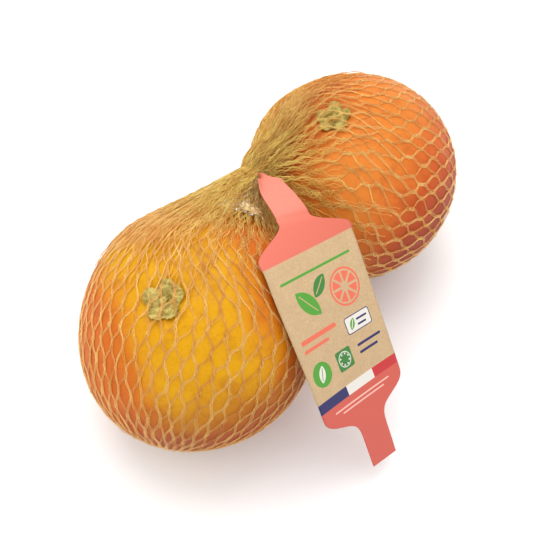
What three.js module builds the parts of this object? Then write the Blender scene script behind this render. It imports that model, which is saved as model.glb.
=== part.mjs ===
import * as THREE from 'three';

// Two pomelos in one sleeve of knitted net. The sleeve is gathered and tied between them, so
// each fruit hangs in a pouch of its own, and a paper label is caught in the tie.
// Millimetres, +Z up. The origin is on the table, under the middle of the pack.

// Fruits: centre in plan, radius round the belly, radius from centre to stem, stem direction,
// and the sides on which the rind stands out or is flatter, as shares of the radius.
const FRONT_FRUIT = {
  x: -32.3,
  y: -40.6,
  belly: 50.8,
  polar: 46.5,
  stem: [-0.258, -0.25, 0.935],
  forms: [
    [-0.7, -0.59, -0.38, 0.04],
    [0.77, -0.54, -0.35, -0.024],
    [-0.53, 0.71, 0.46, 0.045],
    [0.47, 0.74, 0.48, 0.06],
  ],
};
const BACK_FRUIT = {
  x: 35.8,
  y: 42.8,
  belly: 48.5,
  polar: 45.0,
  stem: [-0.217, 0.005, 0.976],
  forms: [
    [0.55, 0.7, 0.46, 0.026],
    [0.8, -0.5, -0.33, -0.026],
    [-0.93, 0.3, 0.2, -0.055],
  ],
};
const FLAT_HEIGHT = 1.6; // the flattened spot under a fruit, just above the net
const FLAT_DEPTH = 1.2; // how much of the round is flattened away there
const SWELL = 0.006; // low unevenness of the rind, as a share of the radius
const DIMPLE_DEPTH = 2.8;
const DIMPLE_RADIUS = 14;

// Calyx: the dried star left where the stem was cut.
const CALYX_RADIUS = 6.9;
const CALYX_LOBE = 1.6;
const CALYX_GAP = 0.3;
const STUB_HEIGHT = 2.3;
const RIM_HEIGHT = 1.7;
const GROOVE_HEIGHT = 0.7;

// Net sleeve.
const NET_CELLS = 22; // meshes round the sleeve
const LEG = 12.7; // length of one leg of a mesh
const STRAND_WIDTH = 1.4;
const STRAND_THICKNESS = 0.8;
const NET_LIFT = 1.0; // from the rind to the inside of the net
const CAP_RADIUS = 6; // the closed end of a pouch, at the far pole of its fruit
const TUBE_LENGTH = 7; // beside the tie, where the strands lie side by side
const FRONT_LEAVE = 126; // where the net leaves the front fruit, in degrees from the far pole
const BACK_LEAVE = 130;
const KNOT_HEIGHT = 1.0; // the gathered net at the closed end
const KNOT_RADIUS = 14;
const SLACK = 3; // how far the back pouch stands off its fruit where it leaves it, on one side
const SLACK_LENGTH = 17;
const SLACK_SIDE = new THREE.Vector3(-0.2, 0.51, 1.05);

// Tie between the pouches.
const WAIST = new THREE.Vector3(-9.8, 20.0, 75.2);
const WAIST_AXIS = new THREE.Vector3(0.66, 0.75, 0).normalize(); // from front pouch to back pouch
const WAIST_RADIUS = 6.6;
const WAIST_GAP = 0.9; // from the middle plane of the tie to the end of each pouch

// Label: middle line from the tie to the tip of the tail, and the outline along it.
const LABEL_THICKNESS = 0.6;
const LABEL_PATH = [
  [-13.1, 23.0, 75.8],
  [-9.6, 19.9, 76.8],
  [-4.7, 15.0, 83.1],
  [-2.6, 9.0, 87.0],
  [-1.2, 4.1, 89.3],
  [1.1, 0.5, 89.9],
  [6.9, -9.0, 89.4],
  [8.9, -13.4, 88.9],
  [13.5, -23.9, 85.7],
  [18.1, -35.3, 80.0],
  [23.1, -45.9, 72.2],
  [28.7, -56.0, 61.2],
  [34.2, -65.1, 49.0],
  [41.5, -75.2, 30.1],
  [48.2, -83.3, 9.3],
];
// Half the label's width against the distance from the tie, with the body between its shoulders.
const LABEL_OUTLINE = [
  [-5, 1.6], [6, 1.6], [9, 2.1], [12, 3.9], [16, 5.2], [20, 5.7], [27, 6.2], [33, 6.8],
  [38.7, 7.3], [41.8, 7.7], [43.2, 8.9], [44.5, 11.0], [49.5, 22.5], [50.8, 24.6], [52.6, 25.5],
  [55, 25.3], [82.8, 25.2], [98.6, 24.9], [114.6, 24.5], [123.6, 24.4], [126.2, 23.2],
  [128.3, 20.8], [132.3, 11.4], [134, 9.2], [137, 7.6], [142, 7.2], [160, 7.1],
];
// The way across the label, from its left edge to its right one, against that distance.
const LABEL_ACROSS = [
  [5, [-0.5, 0.44, 0.75]],
  [9, [0.6, 0.5, 0.62]],
  [14, [0.93, 0.34, 0.14]],
  [22, [0.88, 0.46, 0.1]],
  [32, [0.795, 0.606, -0.02]],
  [43, [0.84, 0.52, -0.17]],
  [55, [0.732, 0.621, -0.281]],
  [82, [0.707, 0.646, -0.288]],
  [119, [0.695, 0.668, -0.265]],
  [160, [0.7, 0.67, -0.25]],
];

const DOWN = new THREE.Vector3(0, 0, -1);

const RIND_YELLOW = new THREE.MeshStandardMaterial({ color: 0xe9a822, roughness: 0.45, metalness: 0 });
const RIND_ORANGE = new THREE.MeshStandardMaterial({ color: 0xe5803a, roughness: 0.45, metalness: 0 });
const CALYX_BROWN = new THREE.MeshStandardMaterial({ color: 0x8f7f3c, roughness: 0.85, metalness: 0 });
const NET_GOLD = new THREE.MeshStandardMaterial({ color: 0xcda353, roughness: 0.6, metalness: 0 });
const LABEL_PAPER = new THREE.MeshStandardMaterial({ color: 0xe8a184, roughness: 0.7, metalness: 0 });

// A triangle mesh put together point by point.
class Surface {
  constructor() {
    this.points = [];
    this.triangles = [];
  }

  point(v) {
    this.points.push(v.x, v.y, v.z);
    return this.points.length / 3 - 1;
  }

  triangle(a, b, c) {
    this.triangles.push(a, b, c);
  }

  quad(a, b, c, d) {
    this.triangles.push(a, b, c, a, c, d);
  }

  // Joins two rings of the same length, the second one further along.
  band(ring, next) {
    for (let i = 0; i < ring.length; i += 1) {
      const j = (i + 1) % ring.length;
      this.quad(ring[i], ring[j], next[j], next[i]);
    }
  }

  // Closes a ring with a fan.
  fan(ring, tip) {
    for (let i = 0; i < ring.length; i += 1) {
      this.triangle(tip, ring[(i + 1) % ring.length], ring[i]);
    }
  }

  mesh(name, material) {
    const geometry = new THREE.BufferGeometry();
    geometry.setAttribute('position', new THREE.Float32BufferAttribute(this.points, 3));
    geometry.setIndex(this.triangles);
    geometry.computeVertexNormals();
    const mesh = new THREE.Mesh(geometry, material);
    mesh.name = name;
    return mesh;
  }
}

// Two directions square to an axis, the first one as near as possible to a given hint.
function squareTo(axis, hint) {
  const first = hint.clone().addScaledVector(axis, -hint.dot(axis)).normalize();
  const second = axis.clone().cross(first);
  return [first, second];
}

function polarDirection(axis, first, second, polar, around) {
  const sine = Math.sin(polar);
  return axis.clone().multiplyScalar(Math.cos(polar))
    .addScaledVector(first, sine * Math.cos(around))
    .addScaledVector(second, sine * Math.sin(around));
}

// The round of a fruit: a flattened ball about its stem axis, standing on its flat spot.
class Fruit {
  constructor(size) {
    this.belly = size.belly;
    this.polar = size.polar;
    this.stem = new THREE.Vector3(...size.stem).normalize();
    this.forms = size.forms.map(([x, y, z, share]) => [new THREE.Vector3(x, y, z).normalize(), share]);
    const tilt = this.stem.z ** 2;
    const drop = Math.sqrt(this.belly ** 2 * (1 - tilt) + this.polar ** 2 * tilt);
    this.middle = new THREE.Vector3(size.x, size.y, FLAT_HEIGHT - FLAT_DEPTH + drop);
  }

  radius(direction) {
    const along = direction.dot(this.stem) ** 2;
    const round = 1 / Math.sqrt((1 - along) / this.belly ** 2 + along / this.polar ** 2);
    const wave = Math.sin(3 * direction.x + 2 * direction.y + 0.6)
      + Math.sin(2 * direction.y - 4 * direction.z + this.belly);
    const form = this.forms.reduce(
      (sum, [toward, share]) => sum + share * Math.max(0, direction.dot(toward)) ** 4,
      0,
    );
    return round * (1 + 0.5 * SWELL * wave + form);
  }

  rind(direction) {
    const radius = this.radius(direction);
    const fromStem = radius * direction.angleTo(this.stem);
    const share = Math.min(1, fromStem / DIMPLE_RADIUS);
    return radius - DIMPLE_DEPTH * (1 - share ** 2) ** 2;
  }

  at(direction, radius) {
    return this.middle.clone().addScaledVector(direction, radius);
  }
}

function makeFruit(fruit, name, material) {
  const polars = [4, 8, 12, 16, 20, 27];
  for (let degrees = 36; degrees < 180; degrees += 9) {
    polars.push(degrees);
  }
  const sides = 36;
  const [first, second] = squareTo(fruit.stem, new THREE.Vector3(1, 0, 0));
  const surface = new Surface();
  const place = (polar, around) => {
    const direction = polarDirection(fruit.stem, first, second, polar, around);
    const point = fruit.at(direction, fruit.rind(direction));
    point.z = Math.max(point.z, FLAT_HEIGHT);
    return surface.point(point);
  };
  const rings = polars.map((degrees) => {
    const ring = [];
    for (let i = 0; i < sides; i += 1) {
      ring.push(place(THREE.MathUtils.degToRad(degrees), (2 * Math.PI * i) / sides));
    }
    return ring;
  });
  for (let i = 1; i < rings.length; i += 1) {
    surface.band(rings[i], rings[i - 1]);
  }
  surface.fan(rings[0].slice().reverse(), place(0, 0));
  surface.fan(rings[rings.length - 1], place(Math.PI, 0));
  return surface.mesh(name, material);
}

// The dried star in the dimple: a stub in the middle, a groove round it, and a lobed rim.
function makeCalyx(fruit, name, turn) {
  const shares = [0.16, 0.3, 0.46, 0.64, 0.82, 1];
  const heights = [STUB_HEIGHT, STUB_HEIGHT * 0.9, GROOVE_HEIGHT, RIM_HEIGHT, RIM_HEIGHT * 0.85, 0.5];
  const sides = 30;
  const [first, second] = squareTo(fruit.stem, new THREE.Vector3(1, 0, 0));
  const surface = new Surface();
  const place = (share, around, height) => {
    const lobes = Math.cos(5 * around + turn) + 0.35 * Math.cos(3 * around - turn);
    const reach = share * (CALYX_RADIUS + CALYX_LOBE * lobes * share);
    const direction = polarDirection(fruit.stem, first, second, reach / fruit.polar, around);
    return surface.point(fruit.at(direction, fruit.rind(direction) + CALYX_GAP + height));
  };
  const ringAt = (share, height) => {
    const ring = [];
    for (let i = 0; i < sides; i += 1) {
      const around = (2 * Math.PI * i) / sides;
      const wrinkle = 1 + 0.12 * Math.sin(10 * around + 9 * share);
      ring.push(place(share, around, height * wrinkle));
    }
    return ring;
  };
  const top = shares.map((share, i) => ringAt(share, heights[i]));
  const bottom = shares.map((share) => ringAt(share, 0));
  for (let i = 1; i < shares.length; i += 1) {
    surface.band(top[i], top[i - 1]);
    surface.band(bottom[i - 1], bottom[i]);
  }
  surface.band(bottom[shares.length - 1], top[shares.length - 1]);
  surface.fan(top[0].slice().reverse(), place(0, 0, STUB_HEIGHT));
  surface.fan(bottom[0], place(0, 0, 0));
  return surface.mesh(name, CALYX_BROWN);
}

// One pouch of the net, from its sealed end at the far pole of the fruit to the tie.
class Pouch {
  constructor(fruit, waistAxis, leave, slack) {
    this.fruit = fruit;
    this.slack = slack;
    this.axis = WAIST.clone().sub(fruit.middle).normalize();
    [this.first, this.second] = squareTo(this.axis, DOWN);
    this.slackTurn = Math.atan2(SLACK_SIDE.dot(this.second), SLACK_SIDE.dot(this.first));
    this.pole = this.axis.clone().negate();
    this.waistAxis = waistAxis;
    [this.waistFirst, this.waistSecond] = squareTo(waistAxis, this.first);
    this.waistMiddle = WAIST.clone().addScaledVector(waistAxis, -WAIST_GAP);
    this.leave = THREE.MathUtils.degToRad(leave);
    this.ball = fruit.belly + NET_LIFT;
    this.onFruit = this.ball * this.leave;
    const edge = fruit.at(this.direction(this.leave, Math.PI / 2), this.ball);
    this.neck = edge.distanceTo(this.waistMiddle) * 0.98;
    this.length = this.onFruit + this.neck;
    this.restPolar = Math.acos(this.axis.z);
  }

  direction(polar, around) {
    return polarDirection(this.pole, this.first, this.second, polar, around);
  }

  // A point of the net, a given distance from the pole; lift is the height over the rind.
  at(distance, around, lift) {
    const height = lift + this.looseness(distance, around);
    if (distance <= this.onFruit) {
      return this.onRind(distance / this.ball, around, height + this.knot(distance));
    }
    const start = this.onRind(this.leave, around, height);
    const before = this.onRind(this.leave - 0.02, around, height);
    const reach = WAIST_RADIUS + lift - NET_LIFT - STRAND_THICKNESS;
    const end = this.waistMiddle.clone()
      .addScaledVector(this.waistFirst, reach * Math.cos(around))
      .addScaledVector(this.waistSecond, reach * Math.sin(around));
    const span = start.distanceTo(end);
    const out = start.clone().sub(before).normalize().multiplyScalar(0.95 * span);
    const into = end.clone().sub(start).normalize().lerp(this.waistAxis, 0.35)
      .multiplyScalar(0.5 * span);
    const t = (distance - this.onFruit) / this.neck;
    return start.clone().multiplyScalar(2 * t ** 3 - 3 * t ** 2 + 1)
      .addScaledVector(out, t ** 3 - 2 * t ** 2 + t)
      .addScaledVector(end, 3 * t ** 2 - 2 * t ** 3)
      .addScaledVector(into, t ** 3 - t ** 2);
  }

  onRind(polar, around, lift) {
    const direction = this.direction(polar, around);
    return this.fruit.at(direction, this.fruit.radius(direction) + lift);
  }

  looseness(distance, around) {
    const share = Math.max(0, Math.cos(around - this.slackTurn));
    return this.slack * share * Math.exp(-(((distance - this.onFruit) / SLACK_LENGTH) ** 2));
  }

  knot(distance) {
    return KNOT_HEIGHT * Math.max(0, 1 - distance / KNOT_RADIUS) ** 2;
  }

  // Distance from the pouch's axis.
  spread(distance) {
    if (distance <= this.onFruit) {
      return this.ball * Math.sin(distance / this.ball);
    }
    const t = (distance - this.onFruit) / this.neck;
    const edge = this.ball * Math.sin(this.leave);
    return edge + (WAIST_RADIUS - edge) * t * (2 - t);
  }

  halfCell(distance) {
    return (Math.PI * this.spread(distance)) / NET_CELLS;
  }

  // Rows of joints, both ways from the one that has a mesh centred on the lowest point.
  rows() {
    const rest = this.restPolar * this.ball;
    const step = (distance) => Math.sqrt(LEG ** 2 - this.halfCell(distance) ** 2);
    const above = [];
    for (let s = rest; s < this.length - TUBE_LENGTH; s += step(s + LEG / 2)) {
      above.push(s);
    }
    const below = [];
    const shorter = (s) => Math.min(step(s - LEG / 2), 0.5 * s);
    for (let s = rest - shorter(rest); s > CAP_RADIUS; s -= shorter(s)) {
      below.unshift(s);
    }
    return { distances: [...below, ...above], shift: below.length % 2 };
  }
}

function makeNet(pouch, name) {
  const surface = new Surface();
  const { distances, shift } = pouch.rows();
  const outside = NET_LIFT + STRAND_THICKNESS;

  // Each point of the net is made twice, outside and inside, and pressed flat on the table.
  const place = (distance, around) => {
    const outer = pouch.at(distance, around, outside);
    const inner = pouch.at(distance, around, NET_LIFT);
    outer.z = Math.max(outer.z, 0);
    inner.z = Math.max(inner.z, STRAND_THICKNESS);
    return [surface.point(outer), surface.point(inner)];
  };
  const ringOf = (distance, turn) => {
    const ring = [];
    for (let i = 0; i < NET_CELLS; i += 1) {
      ring.push(place(distance, (2 * Math.PI * (i + turn)) / NET_CELLS));
    }
    return ring;
  };
  const facet = (...corners) => {
    for (let i = 2; i < corners.length; i += 1) {
      surface.triangle(corners[0][0], corners[i - 1][0], corners[i][0]);
      surface.triangle(corners[0][1], corners[i][1], corners[i - 1][1]);
    }
  };
  const wall = (from, to) => surface.quad(from[0], to[0], to[1], from[1]);

  // Four corners at each joint, one for each mesh that meets there.
  const joints = distances.map((distance, row) => {
    const half = pouch.halfCell(distance);
    const before = distance - (distances[row - 1] ?? distance - LEG);
    const after = (distances[row + 1] ?? distance + LEG) - distance;
    const slope = half / Math.hypot(half, (before + after) / 2);
    const aside = Math.min(STRAND_WIDTH / 2 / Math.sqrt(1 - slope ** 2), 0.4 * half);
    const along = STRAND_WIDTH / 2 / slope;
    const turn = ((row + shift + 1) % 2) / 2;
    const ring = [];
    for (let i = 0; i < NET_CELLS; i += 1) {
      const around = (2 * Math.PI * (i + turn)) / NET_CELLS;
      const lean = (Math.PI / NET_CELLS) * (aside / half);
      ring.push({
        left: place(distance, around - lean),
        right: place(distance, around + lean),
        up: place(distance + Math.min(along, 0.42 * after), around),
        down: place(distance - Math.min(along, 0.42 * before), around),
      });
    }
    return { ring, turn };
  });

  for (let row = 0; row < joints.length; row += 1) {
    const { ring, turn } = joints[row];
    for (let i = 0; i < NET_CELLS; i += 1) {
      const joint = ring[i];
      const beside = ring[(i + 1) % NET_CELLS];
      facet(joint.left, joint.down, joint.right, joint.up);
      const upRow = joints[row + 1];
      const downRow = joints[row - 1];
      const step = turn ? 1 : 0;
      const upRight = upRow?.ring[(i + step) % NET_CELLS];
      const upLeft = upRow?.ring[(i + step + NET_CELLS - 1) % NET_CELLS];
      const downRight = downRow?.ring[(i + step) % NET_CELLS];
      if (upRow) {
        facet(joint.up, joint.right, upRight.down, upRight.left);
        facet(joint.left, joint.up, upLeft.right, upLeft.down);
      }
      if (upRow && downRow) {
        wall(joint.right, downRight.up);
        wall(downRight.up, beside.left);
        wall(beside.left, upRight.down);
        wall(upRight.down, joint.right);
      }
      if (!upRow) {
        facet(downRight.up, beside.left, joint.right);
        facet(joint.right, beside.left, beside.up, joint.up);
      }
      if (!downRow) {
        facet(upRight.down, joint.right, beside.left);
        facet(beside.left, joint.right, joint.down, beside.down);
      }
    }
  }
  closeEnds(pouch, surface, joints, ringOf);
  return surface.mesh(name, NET_GOLD);
}

// Beyond the last meshes the strands lie side by side: a plain tube to the tie, a cap at the pole.
function closeEnds(pouch, surface, joints, ringOf) {
  const pick = (ring, side) => ring.map((pair) => pair[side]);
  const last = joints[joints.length - 1];
  const first = joints[0];
  const tubeStart = pouch.length - TUBE_LENGTH / 2;
  const tube = [
    last.ring.map((joint) => joint.up),
    ringOf(tubeStart, last.turn),
    ringOf(pouch.length, last.turn),
  ];
  const cap = [
    first.ring.map((joint) => joint.down),
    ringOf(CAP_RADIUS / 2, first.turn),
  ];
  const rim = [pick(tube[2], 0), pick(tube[2], 1)];
  for (let i = 1; i < tube.length; i += 1) {
    surface.band(pick(tube[i - 1], 0), pick(tube[i], 0));
    surface.band(pick(tube[i], 1), pick(tube[i - 1], 1));
  }
  surface.band(rim[0], rim[1]);
  surface.band(pick(cap[1], 0), pick(cap[0], 0));
  surface.band(pick(cap[0], 1), pick(cap[1], 1));
  const outerTip = surface.point(pouch.at(0, 0, NET_LIFT + STRAND_THICKNESS));
  const innerTip = surface.point(pouch.at(0, 0, NET_LIFT));
  surface.fan(pick(cap[1], 0), outerTip);
  surface.fan(pick(cap[1], 1).reverse(), innerTip);
}

// The two rows of a table that a distance lies between, and how far it is from the first.
function rowsAround(table, distance) {
  let i = 1;
  while (i < table.length - 1 && table[i][0] < distance) {
    i += 1;
  }
  const [from, low] = table[i - 1];
  const [to, high] = table[i];
  const share = THREE.MathUtils.clamp((distance - from) / (to - from), 0, 1);
  return { low, high, share };
}

function halfWidth(distance) {
  const { low, high, share } = rowsAround(LABEL_OUTLINE, distance);
  return THREE.MathUtils.lerp(low, high, share);
}

function wayAcross(distance) {
  const { low, high, share } = rowsAround(LABEL_ACROSS, distance);
  return new THREE.Vector3(...low).lerp(new THREE.Vector3(...high), share).normalize();
}

// The label: one strip of paper that follows its middle line, and turns on it along the neck.
function makeLabel() {
  const knots = LABEL_PATH.map((p) => new THREE.Vector3(...p));
  const path = new THREE.CatmullRomCurve3(knots, false, 'centripetal');
  const total = path.getLength();
  const start = LABEL_OUTLINE[0][0];
  const stations = [...LABEL_OUTLINE.map(([distance]) => distance), 0, 8, 16, 24, 62, 72, 91, 107, 151];
  stations.sort((a, b) => a - b);
  const columns = [-1, -0.5, 0, 0.5, 1];
  const surface = new Surface();
  const rows = stations.map((distance) => {
    const u = (distance - start) / total;
    const middle = path.getPointAt(u);
    const forward = path.getTangentAt(u);
    const across = wayAcross(distance);
    const face = forward.clone().cross(across).normalize();
    const half = halfWidth(distance);
    return columns.map((column) => {
      const point = middle.clone().addScaledVector(across, column * half);
      const over = surface.point(point.clone().addScaledVector(face, -LABEL_THICKNESS / 2));
      const under = surface.point(point.addScaledVector(face, LABEL_THICKNESS / 2));
      return [over, under];
    });
  });
  const edge = columns.length - 1;
  for (let i = 1; i < rows.length; i += 1) {
    const near = rows[i - 1];
    const far = rows[i];
    for (let j = 0; j < edge; j += 1) {
      surface.quad(near[j][0], near[j + 1][0], far[j + 1][0], far[j][0]);
      surface.quad(near[j][1], far[j][1], far[j + 1][1], near[j + 1][1]);
    }
    surface.quad(near[0][0], far[0][0], far[0][1], near[0][1]);
    surface.quad(near[edge][0], near[edge][1], far[edge][1], far[edge][0]);
  }
  const head = rows[0];
  const tail = rows[rows.length - 1];
  for (let j = 0; j < edge; j += 1) {
    surface.quad(head[j][0], head[j][1], head[j + 1][1], head[j + 1][0]);
    surface.quad(tail[j][0], tail[j + 1][0], tail[j + 1][1], tail[j][1]);
  }
  return surface.mesh('label', LABEL_PAPER);
}

const frontFruit = new Fruit(FRONT_FRUIT);
const backFruit = new Fruit(BACK_FRUIT);
const frontPouch = new Pouch(frontFruit, WAIST_AXIS, FRONT_LEAVE, 0);
const backPouch = new Pouch(backFruit, WAIST_AXIS.clone().negate(), BACK_LEAVE, SLACK);

const pack = new THREE.Group();
pack.add(
  makeFruit(frontFruit, 'pomelo_front', RIND_YELLOW),
  makeFruit(backFruit, 'pomelo_back', RIND_ORANGE),
  makeCalyx(frontFruit, 'calyx_front', 0.4),
  makeCalyx(backFruit, 'calyx_back', 2.1),
  makeNet(frontPouch, 'net_front'),
  makeNet(backPouch, 'net_back'),
  makeLabel(),
);

export default pack;
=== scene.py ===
"""Two pomelos in a gold knitted net, tied between them, with a paper hang label in the tie.

Sizes are in millimetres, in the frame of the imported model. Shaders, the light and the floor
take metres.
"""

import math

import bpy
import numpy as np
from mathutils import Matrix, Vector


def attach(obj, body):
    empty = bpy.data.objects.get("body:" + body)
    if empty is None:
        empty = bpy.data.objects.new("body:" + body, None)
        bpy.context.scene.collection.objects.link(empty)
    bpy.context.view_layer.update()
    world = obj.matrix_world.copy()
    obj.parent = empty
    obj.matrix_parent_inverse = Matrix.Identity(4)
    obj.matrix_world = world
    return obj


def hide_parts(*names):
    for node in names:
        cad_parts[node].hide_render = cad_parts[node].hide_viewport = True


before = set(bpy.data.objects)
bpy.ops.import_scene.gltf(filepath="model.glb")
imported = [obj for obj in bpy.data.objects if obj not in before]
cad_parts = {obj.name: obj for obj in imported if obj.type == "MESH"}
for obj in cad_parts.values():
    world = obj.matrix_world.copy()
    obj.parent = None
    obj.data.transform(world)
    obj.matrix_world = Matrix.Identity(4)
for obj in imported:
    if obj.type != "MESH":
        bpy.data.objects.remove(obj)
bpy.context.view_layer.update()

MM = 0.001
TURN = 2 * math.pi
RIPPLE_LAYERS = 5
TUBE_SIDES = 3

# --- sizes shared with the solids -------------------------------------------------------------

# belly and polar are radii, square to the stem and along it. A form is a broad lump of the rind:
# the way that it lies in, and its height as a share of the radius, below zero on a flatter side.
FRONT_FRUIT = {
    "centre": (-32.3, -40.6),
    "belly": 50.8,
    "polar": 46.5,
    "stem": (-0.258, -0.25, 0.935),
    "forms": (
        (-0.7, -0.59, -0.38, 0.04),
        (0.77, -0.54, -0.35, -0.024),
        (-0.53, 0.71, 0.46, 0.045),
        (0.47, 0.74, 0.48, 0.06),
    ),
}
BACK_FRUIT = {
    "centre": (35.8, 42.8),
    "belly": 48.5,
    "polar": 45.0,
    "stem": (-0.217, 0.005, 0.976),
    "forms": (
        (0.55, 0.7, 0.46, 0.026),
        (0.8, -0.5, -0.33, -0.026),
        (-0.93, 0.3, 0.2, -0.055),
    ),
}
FLAT_HEIGHT = 1.6  # the flattened spot under a fruit, just above the net
FLAT_DEPTH = 1.2  # how much of the round is flattened away there
SWELL = 0.006  # low unevenness of the rind, as a share of the radius
DIMPLE_DEPTH = 2.8
DIMPLE_RADIUS = 14.0

TIE = np.array((-9.8, 20.0, 75.2))
TIE_AXIS = np.array((0.66, 0.75, 0.0)) / math.hypot(0.66, 0.75)  # from front pouch to back pouch
TIE_RADIUS = 6.4  # 0.2 less than the solids'

# The label's middle line, from the tie to the tip of the tail. From the fourth point on these are
# the rounded results of fits to the label's edges in the photo, not driving dimensions, and the
# third follows one of them.
LABEL_PATH = np.array(
    [
        (-13.1, 23.0, 75.8),
        (-9.6, 19.9, 76.8),
        (-4.7, 15.0, 83.1),
        (-2.6, 9.0, 87.0),
        (-1.2, 4.1, 89.3),
        (1.1, 0.5, 89.9),
        (6.9, -9.0, 89.4),
        (8.9, -13.4, 88.9),
        (13.5, -23.9, 85.7),
        (18.1, -35.3, 80.0),
        (23.1, -45.9, 72.2),
        (28.7, -56.0, 61.2),
        (34.2, -65.1, 49.0),
        (41.5, -75.2, 30.1),
        (48.2, -83.3, 9.3),
    ]
)
# Half the label's width against the distance from the tie. The widths were chosen one by one, and
# some of the distances follow the same fits.
LABEL_OUTLINE = np.array(
    [
        (-5, 1.6), (6, 1.6), (9, 2.1), (12, 3.9), (16, 5.2), (20, 5.7), (27, 6.2), (33, 6.8),
        (38.7, 7.3), (41.8, 7.7), (43.2, 8.9), (44.5, 11.0), (49.5, 22.5), (50.8, 24.6),
        (52.6, 25.5), (55, 25.3), (82.8, 25.2), (98.6, 24.9), (114.6, 24.5), (123.6, 24.4),
        (126.2, 23.2), (128.3, 20.8), (132.3, 11.4), (134, 9.2), (137, 7.6), (142, 7.2),
        (160, 7.1),
    ]
)
# The way across the label, from its left edge to its right one, against that distance. From the
# fifth row on it comes from the same fits, with small changes.
LABEL_ACROSS = np.array(
    [
        (5, -0.5, 0.44, 0.75),
        (9, 0.6, 0.5, 0.62),
        (14, 0.93, 0.34, 0.14),
        (22, 0.88, 0.46, 0.1),
        (32, 0.795, 0.606, -0.02),
        (43, 0.84, 0.52, -0.17),
        (55, 0.732, 0.621, -0.281),
        (82, 0.707, 0.646, -0.288),
        (119, 0.695, 0.668, -0.265),
        (160, 0.7, 0.67, -0.25),
    ]
)

# --- small helpers ----------------------------------------------------------------------------


def unit(v):
    v = np.asarray(v, float)
    return v / np.linalg.norm(v, axis=-1, keepdims=True)


def smooth(low, high, x):
    t = np.clip((x - low) / (high - low), 0, 1)
    return t * t * (3 - 2 * t)


def square_to(axis, hint):
    """Two directions square to an axis, the first as near as possible to the hint."""
    first = unit(np.asarray(hint, float) - axis * np.dot(hint, axis))
    return first, np.cross(axis, first)


def ripple(points, scale, seed):
    """Smooth noise between about -1 and 1, the same on every run; scale is its size in mm."""
    rng = np.random.default_rng(seed)
    total = np.zeros(points.shape[:-1])
    for _ in range(RIPPLE_LAYERS):
        wave = unit(rng.normal(size=3)) * TURN / scale * rng.uniform(0.6, 1.5)
        total += np.sin(points @ wave + rng.uniform(0, TURN))
    return total / math.sqrt(RIPPLE_LAYERS)


def add_mesh(name, points, faces, material, uv=None):
    """A mesh object from points in mm and an array of triangles or quads."""
    faces = np.asarray(faces, np.int32)
    count, corners = faces.shape
    mesh = bpy.data.meshes.new(name)
    mesh.vertices.add(len(points))
    mesh.vertices.foreach_set("co", (np.asarray(points, float) * MM).ravel())
    mesh.loops.add(count * corners)
    mesh.loops.foreach_set("vertex_index", faces.ravel())
    mesh.polygons.add(count)
    mesh.polygons.foreach_set("loop_start", np.arange(count, dtype=np.int32) * corners)
    mesh.update(calc_edges=True)
    mesh.validate()
    mesh.polygons.foreach_set("use_smooth", np.full(count, True))
    if uv is not None:
        layer = mesh.uv_layers.new(name="UVMap")
        layer.data.foreach_set("uv", np.asarray(uv, float)[faces.ravel()].ravel())
    mesh.materials.append(material)
    piece = bpy.data.objects.new(name, mesh)
    bpy.context.scene.collection.objects.link(piece)
    return piece


def dress(piece, slot, *nodes):
    """Hangs a piece on the root body and hides the solids that it stands for; slot is not used."""
    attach(piece, "root")
    if nodes:
        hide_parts(*nodes)


def ring_faces(rings, sides):
    """Quads between closed rings of points that are stored one ring after another."""
    i = np.arange(rings - 1)[:, None] * sides
    j = np.arange(sides)[None, :]
    k = (j + 1) % sides
    return np.stack([i + j, i + k, i + sides + k, i + sides + j], -1).reshape(-1, 4)


def strip_faces(rows, columns):
    i = np.arange(rows - 1)[:, None] * columns
    j = np.arange(columns - 1)[None, :]
    return np.stack([i + j, i + j + 1, i + columns + j + 1, i + columns + j], -1).reshape(-1, 4)


def sheet(over, under):
    """A closed thin body between two grids of points, one close above the other."""
    rows, columns = over.shape[:2]
    top = strip_faces(rows, columns)
    count = rows * columns
    i = np.arange(rows - 1) * columns
    j = np.arange(columns - 1)
    right = i + columns - 1
    last = (rows - 1) * columns + j
    rims = [
        np.stack([i, i + columns, i + columns + count, i + count], -1),
        np.stack([right + columns, right, right + count, right + columns + count], -1),
        np.stack([j + 1, j, j + count, j + 1 + count], -1),
        np.stack([last, last + 1, last + 1 + count, last + count], -1),
    ]
    points = np.concatenate([over.reshape(-1, 3), under.reshape(-1, 3)])
    return points, np.vstack([top, top[:, ::-1] + count, *rims])


def tubes(paths, radius, up, tone):
    """Thin tubes along many paths of the same length: paths is (tubes, points, 3).

    Also gives each point a place on the texture square: the tube's tone and how far along it is.
    """
    tangent = unit(np.gradient(paths, axis=1))
    across = unit(np.cross(tangent, up))
    over = np.cross(across, tangent)
    angles = np.arange(TUBE_SIDES) * TURN / TUBE_SIDES
    ring = (
        np.cos(angles)[:, None] * across[:, :, None, :]
        + np.sin(angles)[:, None] * over[:, :, None, :]
    )
    radius = np.broadcast_to(radius, paths.shape[:2])[:, :, None, None]
    points = paths[:, :, None, :] + radius * ring
    one = ring_faces(paths.shape[1], TUBE_SIDES)
    start = np.arange(paths.shape[0])[:, None, None] * paths.shape[1] * TUBE_SIDES
    tone = np.broadcast_to(np.reshape(tone, (-1, 1, 1)), points.shape[:3])
    along = np.broadcast_to(np.linspace(0, 1, paths.shape[1])[:, None], points.shape[:3])
    uv = np.stack([tone, along], -1).reshape(-1, 2)
    return points.reshape(-1, 3), (one[None] + start).reshape(-1, 4), uv


# --- materials --------------------------------------------------------------------------------


BRIGHTNESS = 1.28  # of the studio's light on a surface that lies open to it
UV, OBJECT = 2, 3  # outputs of Blender's texture coordinate node
POINTINESS = 7  # output of its geometry node
VALUE = 1  # the output of a vector node that is a single number


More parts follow.
